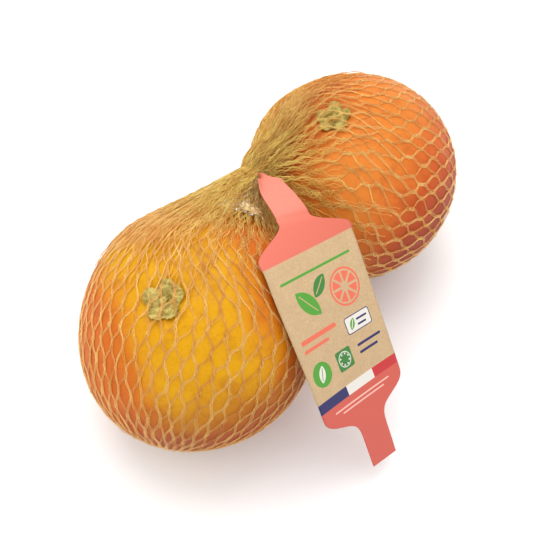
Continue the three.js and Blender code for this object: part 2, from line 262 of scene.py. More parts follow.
class Shader:
    """A material on Blender's principled surface, put together node by node."""

    def __init__(self, name):
        self.material = bpy.data.materials.new(name)
        self.material.use_nodes = True
        self.tree = self.material.node_tree
        self.surface = self.tree.nodes["Principled BSDF"]

    def put(self, socket, value):
        if isinstance(value, bpy.types.NodeSocket):
            self.tree.links.new(value, socket)
        else:
            socket.default_value = value

    def node(self, kind, output=0, **inputs):
        made = self.tree.nodes.new(kind)
        for key, value in inputs.items():
            self.put(made.inputs[key.replace("_", " ")], value)
        return made.outputs[output]

    def finish(self, **inputs):
        for key, value in inputs.items():
            self.put(self.surface.inputs[key.replace("_", " ")], value)
        return self.material

    def math(self, operation, *values, clamp=False):
        made = self.tree.nodes.new("ShaderNodeMath")
        made.operation = operation
        made.use_clamp = clamp
        for socket, value in zip(made.inputs, values):
            self.put(socket, value)
        return made.outputs[0]

    def vector(self, operation, *values, output=0):
        made = self.tree.nodes.new("ShaderNodeVectorMath")
        made.operation = operation
        for socket, value in zip(made.inputs, values):
            self.put(socket, value)
        return made.outputs[output]

    def mix(self, factor, a, b):
        made = self.tree.nodes.new("ShaderNodeMix")
        made.data_type = "RGBA"  # whose colours are inputs 6 and 7, and output 2
        self.put(made.inputs[0], factor)
        self.put(made.inputs[6], a)
        self.put(made.inputs[7], b)
        return made.outputs[2]

    def fit(self, value, low, high, to_low=0.0, to_high=1.0):
        made = self.tree.nodes.new("ShaderNodeMapRange")
        made.interpolation_type = "SMOOTHSTEP"
        for socket, v in zip(made.inputs, (value, low, high, to_low, to_high)):
            self.put(socket, v)
        return made.outputs[0]

    def noise(self, where, scale, detail=3.0, roughness=0.5, distortion=0.0):
        return self.node(
            "ShaderNodeTexNoise",
            Vector=where,
            Scale=scale,
            Detail=detail,
            Roughness=roughness,
            Distortion=distortion,
        )

    def cells(self, where, scale):
        return self.node("ShaderNodeTexVoronoi", Vector=where, Scale=scale)

    def bump(self, height, strength, distance, normal=None):
        inputs = {"Height": height, "Strength": strength, "Distance": distance}
        if normal is not None:
            inputs["Normal"] = normal
        return self.node("ShaderNodeBump", **inputs)

    def place(self):
        return self.node("ShaderNodeTexCoord", output=OBJECT)

    def square(self):
        """The two coordinates on the texture square."""
        split = self.tree.nodes.new("ShaderNodeSeparateXYZ")
        self.put(split.inputs[0], self.node("ShaderNodeTexCoord", output=UV))
        return split.outputs[0], split.outputs[1]


def colour(red, green, blue):
    """Linear values of an sRGB colour given as it looks in the studio's light, 255 being white."""
    values = []
    for share in (red / 255, green / 255, blue / 255):
        linear = share / 12.92 if share <= 0.04045 else ((share + 0.055) / 1.055) ** 2.4
        values.append(min(1.0, linear / BRIGHTNESS))
    return (*values, 1.0)


def rind_material(name, fruit, colours, side, reach, under, seed):
    """Waxed citrus rind.

    Three colours: the pale band that runs over the fruit, the blush on both sides of it, and a
    deep tone that mottles the blush and takes over low down, on the side that under points to, as
    painted shade along with some of the rind's own deeper colour.
    """
    pale, blush, deep = colours
    s = Shader(name)
    where = s.place()
    shifted = s.vector("ADD", where, (seed * 0.31, seed * 0.17, 0))
    direction = s.vector("NORMALIZE", s.vector("SUBTRACT", where, tuple(fruit.middle * MM)))
    aside = s.math("ABSOLUTE", s.vector("DOT_PRODUCT", direction, tuple(unit(side)), output=VALUE))
    # painted shade: how far a point lies toward under, the low side that is painted darker
    low_side_shade = s.vector("DOT_PRODUCT", direction, tuple(unit(under)), output=VALUE)
    cloud = s.math("SUBTRACT", s.noise(shifted, 30, 4, 0.62, 0.3), 0.5)
    aside = s.math("ADD", aside, s.math("MULTIPLY", cloud, 0.7))
    low_side_shade = s.math("ADD", low_side_shade, s.math("MULTIPLY", cloud, 0.5))
    ground = s.mix(s.fit(aside, reach[0], reach[1]), pale, blush)
    # painted shade low down, with some of the rind's own deeper colour: the deep tone takes over
    # here
    ground = s.mix(s.fit(low_side_shade, 0.2, 0.85, 0, 0.95), ground, deep)
    mottle = s.noise(shifted, 120, 4, 0.65)
    ground = s.mix(s.fit(mottle, 0.48, 0.75, 0, 0.34), ground, deep)
    pores = s.cells(shifted, 640)
    ground = s.mix(s.fit(pores, 0.0, 0.5, 0.16, 0.0), ground, deep)
    low = s.bump(s.noise(shifted, 70, 3, 0.5), 0.3, 0.0012)
    normal = s.bump(s.fit(pores, 0.0, 0.55), 0.25, 0.0003, low)
    return s.finish(
        Base_Color=ground,
        Roughness=s.fit(s.noise(shifted, 140, 3), 0.3, 0.7, 0.4, 0.52),
        Normal=normal,
        Specular_IOR_Level=0.15,
        Subsurface_Weight=0.1,
        Subsurface_Radius=(0.004, 0.0016, 0.0005),
    )


def net_material(name):
    """Golden filament, warmer over the fruit than at the tie, each strand with its own tone."""
    s = Shader(name)
    own_tone, _ = s.square()
    where = s.place()
    wear = s.math("MULTIPLY", s.math("SUBTRACT", s.noise(where, 160, 2), 0.5), 1.2)
    tone = s.math("ADD", own_tone, wear, clamp=True)
    from_tie = s.vector("DISTANCE", where, tuple(TIE * MM), output=VALUE)
    warm = s.fit(from_tie, 0.024, 0.06)
    dark = s.mix(warm, colour(226, 160, 48), colour(244, 158, 56))
    light = s.mix(warm, colour(284, 258, 140), colour(284, 242, 146))
    ground = s.mix(tone, dark, light)
    return s.finish(
        Base_Color=ground,
        Roughness=0.3,
        Specular_IOR_Level=0.55,
    )


def weld_material():
    """Net fibres fused into a pale, glossy film."""
    s = Shader("fused_film")
    grain = s.noise(s.place(), 900, 2)
    ground = s.mix(s.fit(grain, 0.35, 0.65), colour(196, 150, 76), colour(240, 210, 154))
    return s.finish(
        Base_Color=ground,
        Roughness=0.35,
        Specular_IOR_Level=0.5,
        Normal=s.bump(grain, 0.5, 0.0003),
    )


def calyx_material():
    s = Shader("dried_calyx")
    where = s.place()
    fibre = s.noise(where, 900, 5, 0.7)
    patch = s.noise(where, 260, 4, 0.6, 0.6)
    ground = s.mix(s.fit(patch, 0.35, 0.65), colour(168, 142, 60), colour(222, 200, 112))
    ground = s.mix(s.fit(fibre, 0.5, 0.75, 0, 0.6), ground, colour(224, 206, 140))
    # painted shade: darker brown in the concave folds and the groove round the stub
    hollow_shade = s.node("ShaderNodeNewGeometry", output=POINTINESS)
    ground = s.mix(s.fit(hollow_shade, 0.49, 0.4, 0, 0.75), ground, colour(92, 62, 22))
    return s.finish(
        Base_Color=ground,
        Roughness=0.82,
        Normal=s.bump(fibre, 0.6, 0.0005),
        Specular_IOR_Level=0.3,
    )


# --- fruit ------------------------------------------------------------------------------------

FRUIT_MESH = (112, 200)  # rings from stem to far pole, and points round each
CALYX_MESH = (44, 160)
CALYX_LOBES = 5
CALYX_NOISE_RADIUS = 50  # where the noise of its wrinkles is read, about on the rind
PLEAT_DISTANCE, PLEAT_REACH = 12, 6  # from the stem to the pleats, and how far they fade
FULLNESS = 0.3  # the rind here is this much further out than the solids', close under the yarn


class Fruit:
    def __init__(self, size):
        self.belly = size["belly"]
        self.polar = size["polar"]
        self.stem = unit(size["stem"])
        self.forms = [(unit(form[:3]), form[3]) for form in size["forms"]]
        tilt = self.stem[2] ** 2
        drop = math.sqrt(self.belly**2 * (1 - tilt) + self.polar**2 * tilt)
        self.middle = np.array((*size["centre"], FLAT_HEIGHT - FLAT_DEPTH + drop))

    def radius(self, direction):
        along = (direction @ self.stem) ** 2
        round_ = 1 / np.sqrt((1 - along) / self.belly**2 + along / self.polar**2)
        x, y, z = np.moveaxis(direction, -1, 0)
        wave = np.sin(3 * x + 2 * y + 0.6) + np.sin(2 * y - 4 * z + self.belly)
        form = sum(share * np.maximum(0, direction @ toward) ** 4 for toward, share in self.forms)
        return round_ * (1 + 0.5 * SWELL * wave + form)

    def rind(self, direction):
        radius = self.radius(direction)
        from_stem = radius * np.arccos(np.clip(direction @ self.stem, -1, 1))
        share = np.minimum(1, from_stem / DIMPLE_RADIUS)
        return radius - DIMPLE_DEPTH * (1 - share**2) ** 2

    def directions(self, polar, around):
        first, second = square_to(self.stem, (1, 0, 0))
        sine = np.sin(polar)
        return (
            np.cos(polar)[..., None] * self.stem
            + (sine * np.cos(around))[..., None] * first
            + (sine * np.sin(around))[..., None] * second
        )


def add_fruit(fruit, name, material, seed):
    """The whole fruit, with the low lumps of its rind and the pleats that run to the stem."""
    rings, sides = FRUIT_MESH
    share = np.linspace(0.004, 1, rings) ** 1.15  # closer together near the stem
    turn = TURN * np.arange(sides) / sides
    polar, around = np.meshgrid(math.pi * 0.998 * share, turn, indexing="ij")
    direction = fruit.directions(polar, around)
    radius = fruit.rind(direction)
    from_stem = polar * fruit.polar
    pleat = np.sin(5 * around + 1.3 * np.sin(2 * around + seed) + seed)
    radius += FULLNESS + 0.3 * pleat * np.exp(-(((from_stem - PLEAT_DISTANCE) / PLEAT_REACH) ** 2))
    points = fruit.middle + direction * radius[..., None]
    lumps = 0.1 * ripple(points, 11, seed) + 0.05 * ripple(points, 5, seed + 1)
    points += direction * lumps[..., None] * smooth(3, 9, from_stem)[..., None]
    points[..., 2] = np.maximum(points[..., 2], FLAT_HEIGHT)
    flat = points.reshape(-1, 3)
    faces = ring_faces(rings, sides)[:, ::-1]
    return add_mesh(name, flat, faces, material)


def add_calyx(fruit, name, material, seed, size):
    """The dried star in the dimple: a stub in a groove, and a thick, wrinkled, lobed rim."""
    rings, sides = CALYX_MESH
    rng = np.random.default_rng(seed)
    turn = TURN * np.arange(sides) / sides
    share, around = np.meshgrid(np.linspace(0.02, 1, rings), turn, indexing="ij")
    lobes = np.zeros(sides)
    shift = rng.uniform(-0.14, 0.14, CALYX_LOBES)
    for centre in TURN * (np.arange(CALYX_LOBES) + shift) / CALYX_LOBES + seed:
        away = np.abs((turn - centre + math.pi) % TURN - math.pi)
        lobe = rng.uniform(0.8, 1.15) * np.exp(-((away / rng.uniform(0.42, 0.52)) ** 4))
        lobes = np.maximum(lobes, lobe)
    jag = np.sin(17 * turn + seed) * np.sin(7 * turn) + 0.6 * np.sin(31 * turn)
    edge = size * (0.76 + 0.24 * lobes + 0.025 * jag)
    direction = fruit.directions(share * edge / fruit.polar, around)
    place = fruit.middle + CALYX_NOISE_RADIUS * direction
    stub = 1.9 * smooth(0.27, 0.17, share) - 0.5 * smooth(0.08, 0.0, share)
    groove = -0.35 * np.exp(-(((share - 0.34) / 0.06) ** 2))
    rim = 1.5 * np.exp(-(((share - 0.62) / 0.2) ** 2))
    curl = 0.9 * smooth(0.72, 1.0, share) * (0.3 + lobes)
    ribs = np.abs(np.sin(2.5 * (around - seed) + 0.5 * np.sin(3 * around)))
    folds = 0.3 * np.abs(np.sin(9 * around + 4 * share + 1.5 * np.sin(4 * around)))
    rough = 0.2 * ripple(place, 2.0, seed) + 0.14 * ripple(place, 0.8, seed + 1)
    outer = smooth(0.3, 0.6, share)
    height = 0.8 + stub + groove + rim + curl - 0.4 * ribs * outer + (folds + rough) * outer
    floor = fruit.rind(direction) + FULLNESS
    top = fruit.middle + direction * (floor + height)[..., None]
    under = fruit.middle + direction * (floor + np.maximum(-0.2, height - 0.8))[..., None]
    shell = np.concatenate([top, under[::-1]]).reshape(-1, 3)
    quads = ring_faces(2 * rings, sides)[:, ::-1]
    triangles = np.vstack([quads[:, [0, 1, 2]], quads[:, [0, 2, 3]]])
    centre = len(shell)
    first = np.arange(sides)
    cap = np.stack([np.full(sides, centre), first, (first + 1) % sides], -1)
    points = np.vstack([shell, top[0].mean(0)])
    return add_mesh(name, points, np.vstack([triangles, cap]), material)


# --- net --------------------------------------------------------------------------------------

NET_CELLS = 42  # meshes round the sleeve
NET_LIFT = 0.4  # from the rind to the yarn
LEAST_WIDTH = 3.0
FILAMENTS = 4  # in one yarn
FILAMENT_RADIUS = (0.07, 0.105)
LEG_STATIONS = np.array((0.0, 0.15, 0.33, 0.5, 0.67, 0.85))  # points from joint to joint
LEG_SWING = np.array((0.0, 0.03, 0.2, 0.5, 0.8, 0.97))  # how far across the yarn is at each one
KNOT_POINTS = 9
KNOT_YARN_RADIUS = 0.11
NECK_FIBRES = 460
FIBRE_POINTS = 28
FIBRE_RADIUS = (0.1, 0.17)
WELD_DISTANCE, WELD_AROUND = 144.5, -2.72  # along the front net and round it
WELD_ALONG, WELD_ACROSS = (-3.4, 3), (-4, 4)  # the film's reach about that place
WELD_MESH = (30, 36)
WELD_STRANDS = 12
WELD_POINTS = 20  # along one strand
WELD_YARN_RADIUS = 0.13
WELD_SEED = 31


class Pouch:
    """One half of the sleeve: it hugs the fruit and then runs to the tie.

    tie_axis: the way in which its strands run through the tie.
    leg: length of yarn from joint to joint, in mm.
    leave: where the net leaves the fruit, in degrees from the closed end.
    droop: how far the closed end hangs below the far pole, in degrees.
    slack: how far the crowded side of the neck bellies out, in mm.
    open_side: the side from which the strands are drawn away.
    mat: how far back on the fruit the crowded side is matted with loose fibre, in mm.
    """

    def __init__(self, fruit, tie_axis, leg, leave, droop, slack, open_side, mat):
        self.fruit = fruit
        self.axis = unit(TIE - fruit.middle)
        self.first, self.second = square_to(self.axis, (0, 0, -1))
        self.hinge = unit(np.cross(-self.axis, (0, 0, -1)))
        self.tie_axis = tie_axis
        self.tie_first, self.tie_second = square_to(tie_axis, self.first)
        self.leave = math.radians(leave)
        self.droop = math.radians(droop)
        self.leg = leg
        self.slack = slack
        self.mat = mat
        self.ball = fruit.belly + FULLNESS + NET_LIFT
        self.on_fruit = self.ball * self.leave
        edge = self.on_rind(np.array([self.leave]), np.array([math.pi / 2]), 0.5)[0]
        self.neck = float(np.linalg.norm(edge - TIE)) * 0.98
        self.length = self.on_fruit + self.neck
        away = np.array(open_side)
        self.open = math.atan2(away @ self.second, away @ self.first)

    def direction(self, polar, around):
        sine = np.sin(polar)
        plain = (
            -np.cos(polar)[..., None] * self.axis
            + (sine * np.cos(around))[..., None] * self.first
            + (sine * np.sin(around))[..., None] * self.second
        )
        angle = (self.droop * smooth(self.leave, 0.2, polar))[..., None]
        along = (plain @ self.hinge)[..., None] * self.hinge
        return along + np.cos(angle) * (plain - along) + np.sin(angle) * np.cross(self.hinge, plain)

    def on_rind(self, polar, around, lift):
        direction = self.direction(polar, around)
        radius = self.fruit.radius(direction) + FULLNESS + lift
        return self.fruit.middle + direction * radius[..., None]

    def at(self, distance, around, lift, fill):
        """Points of the net; fill is how far out in the bundle a strand lies at the tie."""
        crowded = np.maximum(0, -np.cos(around - self.open))
        bellied = np.exp(-(((distance - self.on_fruit - 4) / 17) ** 2))
        lift = lift + self.slack * crowded * bellied
        polar = np.minimum(distance, self.on_fruit) / self.ball
        rind = self.on_rind(polar, around, lift)
        before = self.on_rind(polar - 0.02, around, lift)
        reach = (TIE_RADIUS * fill)[..., None]
        end = (
            TIE
            + reach * np.cos(around)[..., None] * self.tie_first
            + reach * np.sin(around)[..., None] * self.tie_second
        )
        span = np.linalg.norm(end - rind, axis=-1, keepdims=True)
        out = unit(rind - before) * (0.66 + 0.06 * self.slack) * span
        into = (0.6 * unit(end - rind) + 0.4 * self.tie_axis) * 0.55 * span
        t = np.clip((distance - self.on_fruit) / self.neck, 0, 1)[..., None]
        past = np.maximum(0, distance - self.length)[..., None] * self.tie_axis
        swell = 0.65 * self.slack * crowded * np.exp(-(((distance - self.length + 11) / 9) ** 2))
        outward = swell[..., None] * (
            np.cos(around)[..., None] * self.tie_first + np.sin(around)[..., None] * self.tie_second
        )
        return (
            rind * (2 * t**3 - 3 * t**2 + 1)
            + out * (t**3 - 2 * t**2 + t)
            + end * (3 * t**2 - 2 * t**3)
            + into * (t**3 - t**2)
            + past
            + outward
        )

    def spread(self, distance):
        """Distance from the pouch's own axis."""
        t = np.clip((distance - self.on_fruit) / self.neck, 0, 1)
        edge = self.ball * math.sin(self.leave)
        on_ball = self.ball * np.sin(np.minimum(distance, self.on_fruit) / self.ball)
        return np.where(t > 0, edge + (TIE_RADIUS - edge) * t * (2 - t), on_ball)

    def width(self, distance):
        """The same distance, but never near nothing, so that a shift can be shared out by it."""
        return np.maximum(self.spread(distance), LEAST_WIDTH)

    def rows(self):
        """Distances from the closed end of the rows of joints, the last one past the tie."""
        distances = [1.5]
        while distances[-1] < self.length - 3:
            half = math.pi * float(self.spread(distances[-1] + self.leg / 2)) / NET_CELLS
            step = math.sqrt(self.leg**2 - min(half, 0.8 * self.leg) ** 2)
            distances.append(distances[-1] + min(step, 1.2 + 0.7 * distances[-1]))
        distances[-1] = self.length + 2.2
        return np.array(distances)

    def crowd(self, distance, around):
        """Moves the strands of the neck round, away from the open side."""
        gathered = smooth(self.on_fruit - 28, self.on_fruit + 8, distance)
        relaxed = smooth(self.length - 16, self.length - 1, distance)
        share = 0.08 + 0.58 * gathered - 0.35 * relaxed
        return around + share * np.sin(around - self.open)


def add_net(pouch, name, node, material, seed):
    """The knitted sleeve: yarns of loose filaments that meet, run side by side and part again."""
    rng = np.random.default_rng(seed)
    rows = pouch.rows()
    wales = 2 * NET_CELLS
    steps = len(rows) - 1
    calm = smooth(0, 25, rows) * smooth(pouch.length, pouch.length - 25, rows)
    slack_around = rng.normal(0, 0.14, (wales, len(rows)))
    slack_along = rng.normal(0, 0.95, (wales, len(rows))) * calm
    phase = np.tile(LEG_STATIONS, steps)
    counter = np.repeat(np.arange(steps), len(LEG_STATIONS)) + phase

    def along_yarn(values):
        """Values at a yarn's joints, carried over to all its points."""
        swing = values[:-1, None] * (1 - LEG_SWING) + values[1:, None] * LEG_SWING
        return swing.ravel()

    for half in range(2):
        paths, radii, ups, tones = [], [], [], []
        for wale in range(half, wales, 2):
            joint = wale + (wale + np.arange(len(rows))) % 2
            number = joint % wales
            place = np.arange(len(rows))
            around = along_yarn(joint + slack_around[number, place]) * math.pi / NET_CELLS
            row_place = rows + slack_along[number, place]
            distance = (
                row_place[:-1, None] * (1 - LEG_STATIONS) + row_place[1:, None] * LEG_STATIONS
            ).ravel()
            touching = along_yarn(np.where(joint > wale, -1.0, 1.0))
            middle = np.sin(math.pi * phase)
            width = pouch.width(distance)
            in_neck = smooth(pouch.on_fruit - 26, pouch.on_fruit + 8, distance)
            spacing = math.pi * width / NET_CELLS
            sag = 0.4 * np.interp(counter, np.arange(len(rows)), rng.normal(size=len(rows)))
            deep = rng.uniform(0.3, 1.1)
            begin = rng.uniform(0, TURN)
            light = rng.uniform(0.15, 0.85)
            for strand in range(FILAMENTS):
                loose = rng.uniform(0.5, 2.0)
                twist = TURN * (1.3 * counter + strand / FILAMENTS) + begin
                reach = (0.32 + 0.24 * middle) * loose
                reach = reach * (1 - in_neck) + in_neck * (0.17 + 0.09 * spacing) * loose
                stray = rng.normal(0, 0.07, len(counter)) + 0.3 * in_neck * np.sin(
                    TURN * distance / 5 + begin + 2 * strand
                )
                apart = 0.42 * touching * (1 - middle)
                aside = sag * middle + reach * np.cos(twist) + apart + stray
                lift = 0.12 + 0.18 * reach * (1 + np.sin(twist)) + 0.12 * rng.random(len(counter))
                angle = pouch.crowd(distance, around + aside / width)
                fill = np.full(len(counter), min(1.05, deep * rng.uniform(0.9, 1.15)))
                points = pouch.at(distance, angle, lift, fill)
                points[:, 2] = np.maximum(points[:, 2], 0.15 + 0.3 * rng.random())
                paths.append(points)
                radii.append(np.full(len(counter), rng.uniform(*FILAMENT_RADIUS)))
                ups.append(points - pouch.fruit.middle)
                tones.append(np.clip(light + rng.normal(0, 0.25), 0, 1))
        points, faces, uv = tubes(np.array(paths), np.array(radii), unit(np.array(ups)), tones)
        piece = add_mesh(f"{name}_{half + 1}", points, faces, material, uv=uv)
        dress(piece, "net", node)

    row, index = np.divmod(np.arange(NET_CELLS * (len(rows) - 2)), NET_CELLS)
    row += 1
    number = 2 * index + row % 2
    around = (number + slack_around[number, row]) * math.pi / NET_CELLS
    distance = rows[row] + slack_along[number, row]
    points, ups = knots(pouch, distance, around, rng)
    points, faces, uv = tubes(points, KNOT_YARN_RADIUS, ups, rng.uniform(0.2, 1, len(points)))
    dress(add_mesh(f"{name}_knots", points, faces, material, uv=uv), "net", node)

    points, ups = neck_fibres(pouch, rng)
    thick = rng.uniform(*FIBRE_RADIUS, len(points))[:, None]
    # painted shade: the neck fibres take only the darker tones, as a shaded backing behind the
    # yarns
    points, faces, uv = tubes(points, thick, ups, rng.uniform(0, 0.6, len(points)))
    dress(add_mesh(f"{name}_fibres", points, faces, material, uv=uv), "net", node)


def knots(pouch, distance, around, rng):
    """A small slack loop round the two yarns wherever they meet."""
    t = np.linspace(0, 1, KNOT_POINTS)
    turn = TURN * 1.3 * t + rng.uniform(0, TURN, len(distance))[:, None]
    size = rng.uniform(0.7, 1.25, len(distance))[:, None]
    width = pouch.width(distance)[:, None]
    aside = 0.62 * size * np.cos(turn)
    lift = 0.2 + 0.34 * size * (1 + np.sin(turn))
    along = distance[:, None] + 2.6 * size * (t - 0.5)
    angle = pouch.crowd(along, around[:, None] + aside / width)
    fill = np.broadcast_to(rng.uniform(0.3, 1, len(distance))[:, None], angle.shape)
    points = pouch.at(along, angle, lift, fill)
    points[..., 2] = np.maximum(points[..., 2], 0.2)
    return points, unit(points - pouch.fruit.middle)


def neck_fibres(pouch, rng):
    """Curly fibres of the gathered net between the fruit and the tie, most on its crowded side."""
    share = np.linspace(0, 1, FIBRE_POINTS)
    end = pouch.length + rng.uniform(-2, 3, NECK_FIBRES)
    side = rng.normal(0, 0.6, NECK_FIBRES)
    loose = NECK_FIBRES // 6
    side[:loose] = rng.uniform(-math.pi, math.pi, loose)
    start = pouch.on_fruit + 20 - 45 * rng.random(NECK_FIBRES) ** 2.2
    start -= pouch.mat * smooth(1.2, 0.4, np.abs(side))
    distance = start[:, None] + (end - start)[:, None] * share
    begin = rng.uniform(0, TURN, NECK_FIBRES)[:, None]
    curl = 0.45 * np.sin(TURN * distance / rng.uniform(4, 8, NECK_FIBRES)[:, None] + begin)
    wander = np.cumsum(rng.normal(0, 0.16, distance.shape), axis=1)
    width = pouch.width(distance)
    around = (pouch.open + math.pi + side)[:, None] + (wander + curl) / width
    lift = rng.uniform(0.0, 0.9, NECK_FIBRES)[:, None]
    lift = lift + 0.25 * (1 + np.cos(TURN * distance / 5 + begin))
    fill = np.broadcast_to(rng.uniform(0.2, 1.08, NECK_FIBRES)[:, None], distance.shape)
    points = pouch.at(distance, around, lift, fill)
    return points, unit(points - pouch.fruit.middle)


def add_weld(pouch, material):
    """A crumpled film of fused fibre on the front neck, and the pale strands that run from it."""
    rng = np.random.default_rng(WELD_SEED)
    along = np.linspace(*WELD_ALONG, WELD_MESH[0])
    aside = np.linspace(*WELD_ACROSS, WELD_MESH[1])
    distance, around = np.meshgrid(along, aside, indexing="ij")
    ragged = 0.7 + 0.3 * np.sin(2.1 * distance + 1) * np.sin(1.7 * around + 0.4)
    distance, around = distance * ragged, around * ragged
    width = float(pouch.spread(WELD_DISTANCE))
    flat = np.stack([distance, around, 0 * around], -1)
    crumple = 0.6 * np.abs(ripple(flat, 2.6, 5)) + 0.2 * ripple(flat, 1.2, 6)
    fill = np.full(distance.shape, 1.0)
    away = WELD_DISTANCE + distance, WELD_AROUND + around / width
    over = pouch.at(*away, 0.9 + crumple, fill)
    under = pouch.at(*away, 0.6 + crumple, fill)
    points, faces = sheet(over, under)
    dress(add_mesh("fused_film", points, faces, material), "net", "net_front")
    share = np.linspace(0, 1, WELD_POINTS)
    start = WELD_DISTANCE + rng.uniform(-9, 3, WELD_STRANDS)[:, None]
    along = start + (pouch.length - 2 - start) * share
    begin = rng.uniform(0, TURN, WELD_STRANDS)[:, None]
    aside = rng.uniform(-3.5, 4.5, WELD_STRANDS)[:, None] + 0.4 * np.sin(TURN * along / 6 + begin)
    fill = np.broadcast_to(rng.uniform(0.9, 1.1, WELD_STRANDS)[:, None], along.shape)
    lift = rng.uniform(1, 2, WELD_STRANDS)[:, None] + 0.3 * np.sin(TURN * along / 5 + begin)
    points = pouch.at(along, WELD_AROUND + aside / width, lift, fill)
    points, faces, uv = tubes(points, WELD_YARN_RADIUS, unit(points - pouch.fruit.middle), 1.0)
    dress(add_mesh("fused_strands", points, faces, material, uv=uv), "net", "net_front")


# --- label ------------------------------------------------------------------------------------

LABEL_MESH = (260, 37)  # points along it and across it
LABEL_HALF_THICKNESS = 0.18
CURVE_STEPS = 60  # between two points of its path
PRINT_SIZE = 200.0  # of the texture square
PRINT_ORIGIN = (0.5, 0.1)  # where the tie's place on the middle line falls on that square
KRAFT_START, KRAFT_END = 55.0, 119.0  # between the two coral ends, from the tie
BAND_START = 114.3  # of the navy, white and red band, which ends with the kraft
BAND_WHITE, BAND_RED = -6.6, 9.8  # where each begins, from the middle line


def catmull_rom(knots, samples):
    """Points evenly spaced along a centripetal curve through the knots."""
    ends = np.vstack([2 * knots[0] - knots[1], knots, 2 * knots[-1] - knots[-2]])
    fine = []
    for i in range(1, len(ends) - 2):
        p0, p1, p2, p3 = ends[i - 1 : i + 3]
        gap = [max(1e-4, np.linalg.norm(b - a) ** 0.5) for a, b in ((p0, p1), (p1, p2), (p2, p3))]
        t1 = ((p1 - p0) / gap[0] - (p2 - p0) / (gap[0] + gap[1]) + (p2 - p1) / gap[1]) * gap[1]
        t2 = ((p2 - p1) / gap[1] - (p3 - p1) / (gap[1] + gap[2]) + (p3 - p2) / gap[2]) * gap[1]
        t = np.linspace(0, 1, CURVE_STEPS, endpoint=False)[:, None]
        fine.append(
            p1
            + t1 * t
            + (-3 * p1 + 3 * p2 - 2 * t1 - t2) * t**2
            + (2 * p1 - 2 * p2 + t1 + t2) * t**3
        )
    fine = np.vstack([*fine, knots[-1:]])
    steps = np.linalg.norm(np.diff(fine, axis=0), axis=1)
    length = np.concatenate([[0], np.cumsum(steps)])
    at = samples * length[-1]
    return np.stack([np.interp(at, length, fine[:, k]) for k in range(3)], -1), length[-1]


def add_label(material):
    """One strip of printed card along its middle line, with a folded-back edge at the neck."""
    rows, columns = LABEL_MESH
    start, end = LABEL_OUTLINE[0, 0], LABEL_OUTLINE[-1, 0]
    distance = np.linspace(start, end, rows)
    _, total = catmull_rom(LABEL_PATH, np.zeros(1))
    path, _ = catmull_rom(LABEL_PATH, (distance - start) / total)
    forward = unit(np.gradient(path, axis=0))
    across = np.stack(
        [np.interp(distance, LABEL_ACROSS[:, 0], LABEL_ACROSS[:, k]) for k in (1, 2, 3)], -1
    )
    across = unit(across)
    face = unit(np.cross(across, forward))
    half = np.interp(distance, LABEL_OUTLINE[:, 0], LABEL_OUTLINE[:, 1])
    half[4:-4] = np.convolve(half, np.ones(5) / 5, "same")[4:-4]  # rounds the corners
    column = np.linspace(-1, 1, columns)[None, :]
    neck = (smooth(3, 9, distance) * smooth(27, 17, distance))[:, None]
    slope = 0.55 * np.exp(-(((distance[:, None] - 11) / 3.5) ** 2)) * np.maximum(0, column)
    side = column * half[:, None] * (1 - slope)
    fold = np.minimum(0, column + 0.55) * half[:, None] * neck
    body = (smooth(46, 64, distance) * smooth(134, 112, distance))[:, None]
    bow = -0.8 * body * (column**2 - 0.4)
    ridge = 0.8 * np.exp(-(((distance[:, None] - 39.5 - 1.6 * column) / 1.5) ** 2))
    wave = 0.3 * np.sin(distance / 15 + 1)[:, None] * column
    rise = bow + ridge + wave + 0.95 * fold
    place = side - 0.5 * fold
    middle = path[:, None] + place[..., None] * across[:, None] + rise[..., None] * face[:, None]
    half_card = LABEL_HALF_THICKNESS * face[:, None]
    points, faces = sheet(middle + half_card, middle - half_card)
    along = np.broadcast_to(distance[:, None], side.shape)
    uv = np.stack([side, along], -1) / PRINT_SIZE + PRINT_ORIGIN
    uv = uv.reshape(-1, 2)
    piece = add_mesh("paper_label", points, faces, material, uv=np.concatenate([uv, uv]))
    dress(piece, "label_paper", "label")


